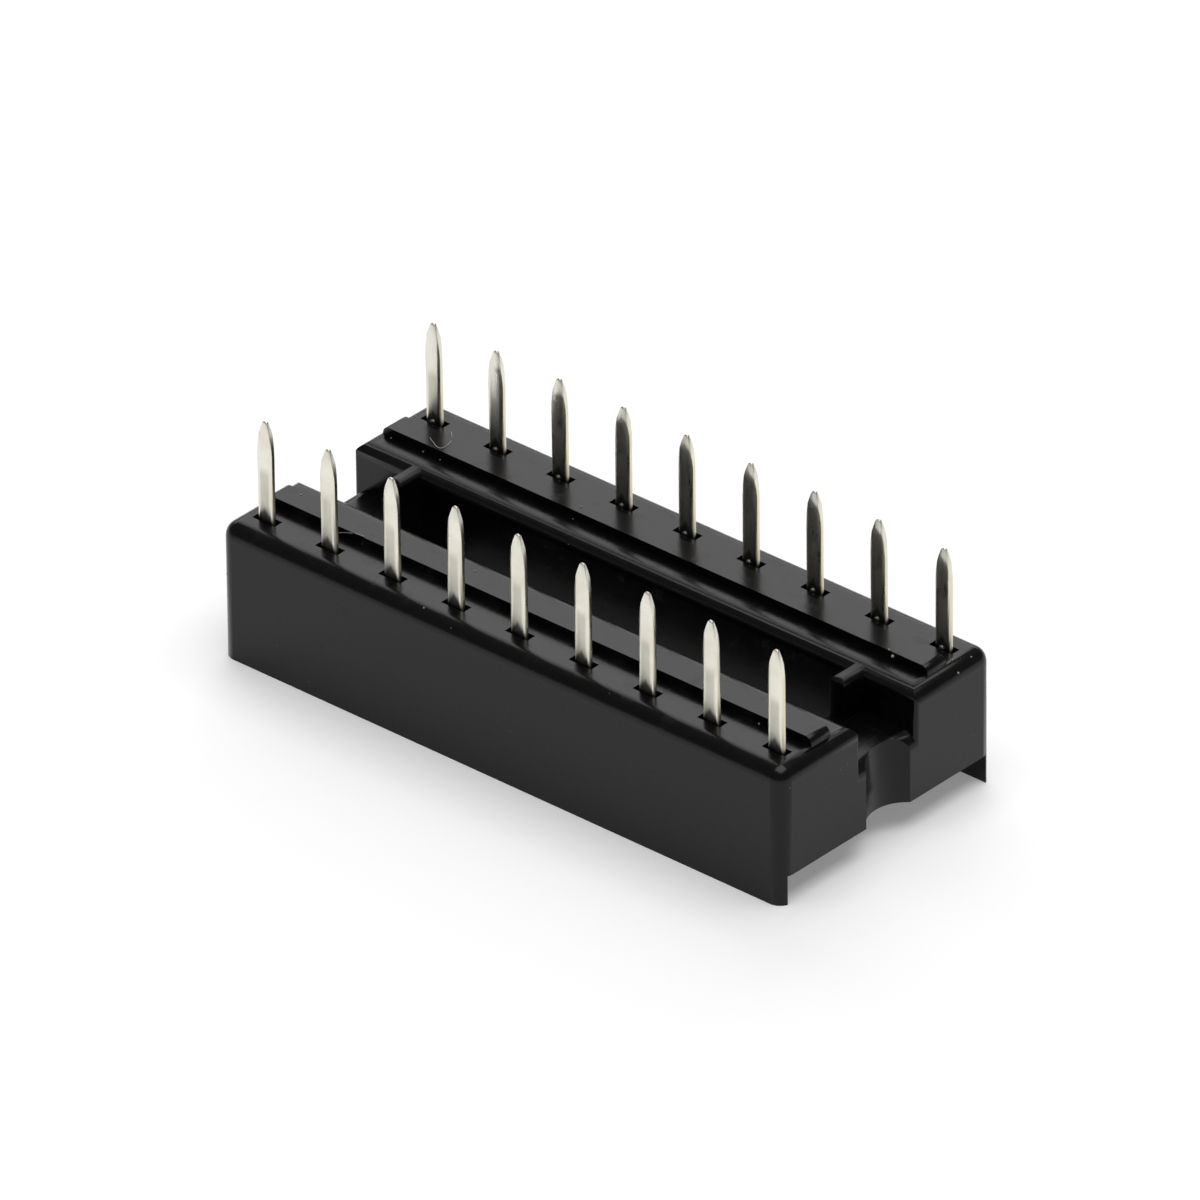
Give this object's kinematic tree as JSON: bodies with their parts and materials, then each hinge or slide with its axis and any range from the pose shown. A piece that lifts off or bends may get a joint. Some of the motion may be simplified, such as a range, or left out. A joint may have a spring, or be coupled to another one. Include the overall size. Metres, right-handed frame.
{
  "type": "ic socket",
  "caption": "Dual-in-line socket for a chip: a black moulded body with an open window, and tinned contacts whose pointed tails go through a circuit board.",
  "frame": {"origin": "middle of the part in plan, at the lower edge of the two lips that it lies on, mating side down", "axes": "+X along the rows towards the notched end, +Y across the rows towards the rail with the two webs, +Z along the tails"},
  "size_m": [0.0224, 0.0096, 0.0082],
  "materials": {
    "housing": "black glass-filled polyester, semi-gloss as moulded",
    "contacts": "bright tin plating on a stamped copper alloy"
  },
  "bodies": {
    "root": {"housing": "housing", "contact_01": "contacts", "contact_02": "contacts", "contact_03": "contacts", "contact_04": "contacts", "contact_05": "contacts", "contact_06": "contacts", "contact_07": "contacts", "contact_08": "contacts", "contact_09": "contacts", "contact_10": "contacts", "contact_11": "contacts", "contact_12": "contacts", "contact_13": "contacts", "contact_14": "contacts", "contact_15": "contacts", "contact_16": "contacts", "contact_17": "contacts", "contact_18": "contacts"}
  },
  "joints": []
}
